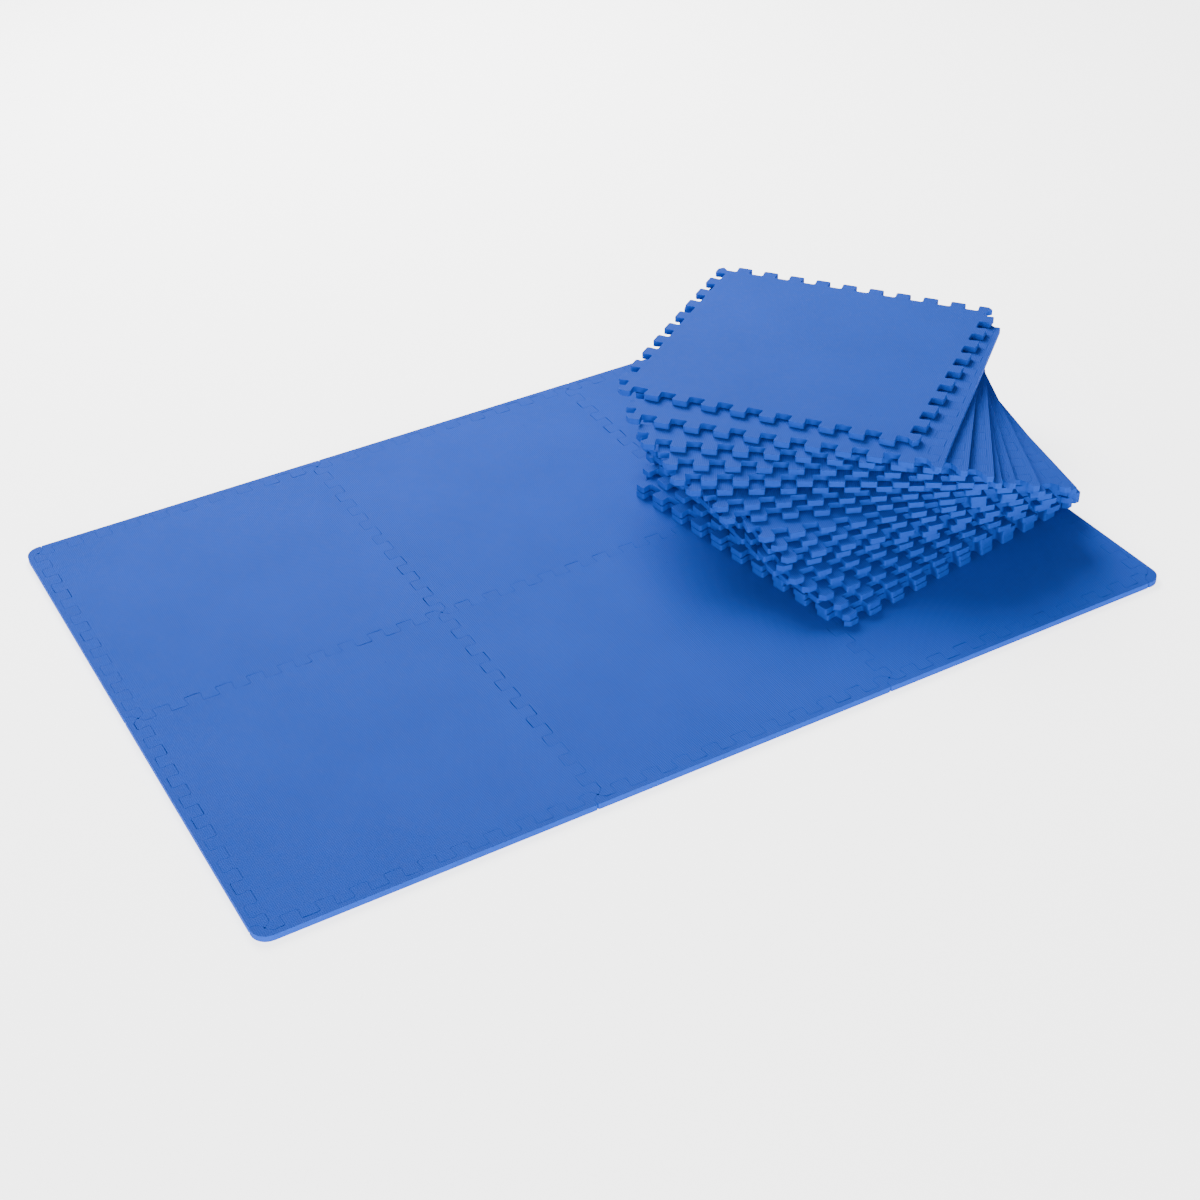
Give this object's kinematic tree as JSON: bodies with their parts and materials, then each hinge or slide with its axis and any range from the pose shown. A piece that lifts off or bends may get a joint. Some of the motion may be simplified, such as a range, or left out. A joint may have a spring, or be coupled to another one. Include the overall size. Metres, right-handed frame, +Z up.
{
  "type": "foam puzzle mats",
  "caption": "Square foam floor mats with dovetailed edges, laid as a floor with smooth border strips and stacked in a turning pile on one side of it",
  "frame": {"origin": "on the ground, under the middle of the bounding box of all the pieces", "axes": "+X along the long side of the floor, towards the side with the stack; +Y along its short side, away from the near long side; +Z up"},
  "size_m": [1.9976, 1.2648, 0.2467],
  "materials": {
    "mat_foam": "matte closed-cell EVA foam, embossed with a fine crosshatch on top, plain cut edges",
    "strip_foam": "matte closed-cell EVA foam, embossed with a fine crosshatch on top, plain cut edges"
  },
  "bodies": {
    "floor": {"floor_mat_near_middle": "mat_foam", "floor_mat_far_middle": "mat_foam", "floor_mat_near_right": "mat_foam", "floor_mat_far_right": "mat_foam", "floor_strip_right_near": "strip_foam", "floor_strip_right_far": "strip_foam"},
    "loose_mat_near_left": {"floor_mat_near_left": "mat_foam"},
    "loose_mat_far_left": {"floor_mat_far_left": "mat_foam"},
    "loose_strip_left_near": {"floor_strip_left_near": "strip_foam"},
    "loose_strip_left_far": {"floor_strip_left_far": "strip_foam"},
    "loose_strip_near_left": {"floor_strip_near_left": "strip_foam"},
    "loose_strip_near_middle": {"floor_strip_near_middle": "strip_foam"},
    "loose_strip_near_right": {"floor_strip_near_right": "strip_foam"},
    "loose_strip_far_left": {"floor_strip_far_left": "strip_foam"},
    "loose_strip_far_middle": {"floor_strip_far_middle": "strip_foam"},
    "loose_strip_far_right": {"floor_strip_far_right": "strip_foam"},
    "spare_18": {"stack_mat_18": "mat_foam", "stack_strip_18": "strip_foam"},
    "spare_17": {"stack_mat_17": "mat_foam", "stack_strip_17": "strip_foam"},
    "spare_16": {"stack_mat_16": "mat_foam", "stack_strip_16": "strip_foam"},
    "spare_15": {"stack_mat_15": "mat_foam", "stack_strip_15": "strip_foam"},
    "spare_14": {"stack_mat_14": "mat_foam", "stack_strip_14": "strip_foam"},
    "spare_13": {"stack_mat_13": "mat_foam", "stack_strip_13": "strip_foam"},
    "spare_12": {"stack_mat_12": "mat_foam", "stack_strip_12": "strip_foam"},
    "spare_11": {"stack_mat_11": "mat_foam", "stack_strip_11": "strip_foam"},
    "spare_10": {"stack_mat_10": "mat_foam", "stack_strip_10": "strip_foam"},
    "spare_09": {"stack_mat_09": "mat_foam", "stack_strip_09": "strip_foam"},
    "spare_08": {"stack_mat_08": "mat_foam", "stack_strip_08": "strip_foam"},
    "spare_07": {"stack_mat_07": "mat_foam", "stack_strip_07": "strip_foam"},
    "spare_06": {"stack_mat_06": "mat_foam", "stack_strip_06": "strip_foam"},
    "spare_05": {"stack_mat_05": "mat_foam", "stack_strip_05": "strip_foam"},
    "spare_04": {"stack_mat_04": "mat_foam", "stack_strip_04": "strip_foam"},
    "spare_03": {"stack_mat_03": "mat_foam", "stack_strip_03": "strip_foam"},
    "spare_02": {"stack_mat_02": "mat_foam", "stack_strip_02": "strip_foam"},
    "spare_01": {"stack_mat_01": "mat_foam"}
  },
  "joints": [
    {"name": "mat_near_left_lift", "type": "slide", "parent": "floor", "child": "loose_mat_near_left", "axis": [0, 0, 1], "range_m": [0, 0.05]},
    {"name": "mat_far_left_lift", "type": "slide", "parent": "floor", "child": "loose_mat_far_left", "axis": [0, 0, 1], "range_m": [0, 0.05]},
    {"name": "strip_left_near_lift", "type": "slide", "parent": "floor", "child": "loose_strip_left_near", "axis": [0, 0, 1], "range_m": [0, 0.05]},
    {"name": "strip_left_far_lift", "type": "slide", "parent": "floor", "child": "loose_strip_left_far", "axis": [0, 0, 1], "range_m": [0, 0.05]},
    {"name": "strip_near_left_lift", "type": "slide", "parent": "floor", "child": "loose_strip_near_left", "axis": [0, 0, 1], "range_m": [0, 0.05]},
    {"name": "strip_near_middle_lift", "type": "slide", "parent": "floor", "child": "loose_strip_near_middle", "axis": [0, 0, 1], "range_m": [0, 0.05]},
    {"name": "strip_near_right_lift", "type": "slide", "parent": "floor", "child": "loose_strip_near_right", "axis": [0, 0, 1], "range_m": [0, 0.05]},
    {"name": "strip_far_left_lift", "type": "slide", "parent": "floor", "child": "loose_strip_far_left", "axis": [0, 0, 1], "range_m": [0, 0.05]},
    {"name": "strip_far_middle_lift", "type": "slide", "parent": "floor", "child": "loose_strip_far_middle", "axis": [0, 0, 1], "range_m": [0, 0.05]},
    {"name": "strip_far_right_lift", "type": "slide", "parent": "floor", "child": "loose_strip_far_right", "axis": [0, 0, 1], "range_m": [0, 0.05]},
    {"name": "spare_18_lift", "type": "slide", "parent": "floor", "child": "spare_18", "axis": [0, 0, 1], "range_m": [0, 0.05]},
    {"name": "spare_17_lift", "type": "slide", "parent": "spare_18", "child": "spare_17", "axis": [0, 0, 1], "range_m": [0, 0.05]},
    {"name": "spare_16_lift", "type": "slide", "parent": "spare_17", "child": "spare_16", "axis": [0, 0, 1], "range_m": [0, 0.05]},
    {"name": "spare_15_lift", "type": "slide", "parent": "spare_16", "child": "spare_15", "axis": [0, 0, 1], "range_m": [0, 0.05]},
    {"name": "spare_14_lift", "type": "slide", "parent": "spare_15", "child": "spare_14", "axis": [0, 0, 1], "range_m": [0, 0.05]},
    {"name": "spare_13_lift", "type": "slide", "parent": "spare_14", "child": "spare_13", "axis": [0, 0, 1], "range_m": [0, 0.05]},
    {"name": "spare_12_lift", "type": "slide", "parent": "spare_13", "child": "spare_12", "axis": [0, 0, 1], "range_m": [0, 0.05]},
    {"name": "spare_11_lift", "type": "slide", "parent": "spare_12", "child": "spare_11", "axis": [0, 0, 1], "range_m": [0, 0.05]},
    {"name": "spare_10_lift", "type": "slide", "parent": "spare_11", "child": "spare_10", "axis": [0, 0, 1], "range_m": [0, 0.05]},
    {"name": "spare_09_lift", "type": "slide", "parent": "spare_10", "child": "spare_09", "axis": [0, 0, 1], "range_m": [0, 0.05]},
    {"name": "spare_08_lift", "type": "slide", "parent": "spare_09", "child": "spare_08", "axis": [0, 0, 1], "range_m": [0, 0.05]},
    {"name": "spare_07_lift", "type": "slide", "parent": "spare_08", "child": "spare_07", "axis": [0, 0, 1], "range_m": [0, 0.05]},
    {"name": "spare_06_lift", "type": "slide", "parent": "spare_07", "child": "spare_06", "axis": [0, 0, 1], "range_m": [0, 0.05]},
    {"name": "spare_05_lift", "type": "slide", "parent": "spare_06", "child": "spare_05", "axis": [0, 0, 1], "range_m": [0, 0.05]},
    {"name": "spare_04_lift", "type": "slide", "parent": "spare_05", "child": "spare_04", "axis": [0, 0, 1], "range_m": [0, 0.05]},
    {"name": "spare_03_lift", "type": "slide", "parent": "spare_04", "child": "spare_03", "axis": [0, 0, 1], "range_m": [0, 0.05]},
    {"name": "spare_02_lift", "type": "slide", "parent": "spare_03", "child": "spare_02", "axis": [0, 0, 1], "range_m": [0, 0.05]},
    {"name": "spare_01_lift", "type": "slide", "parent": "spare_02", "child": "spare_01", "axis": [0, 0, 1], "range_m": [0, 0.05]}
  ]
}
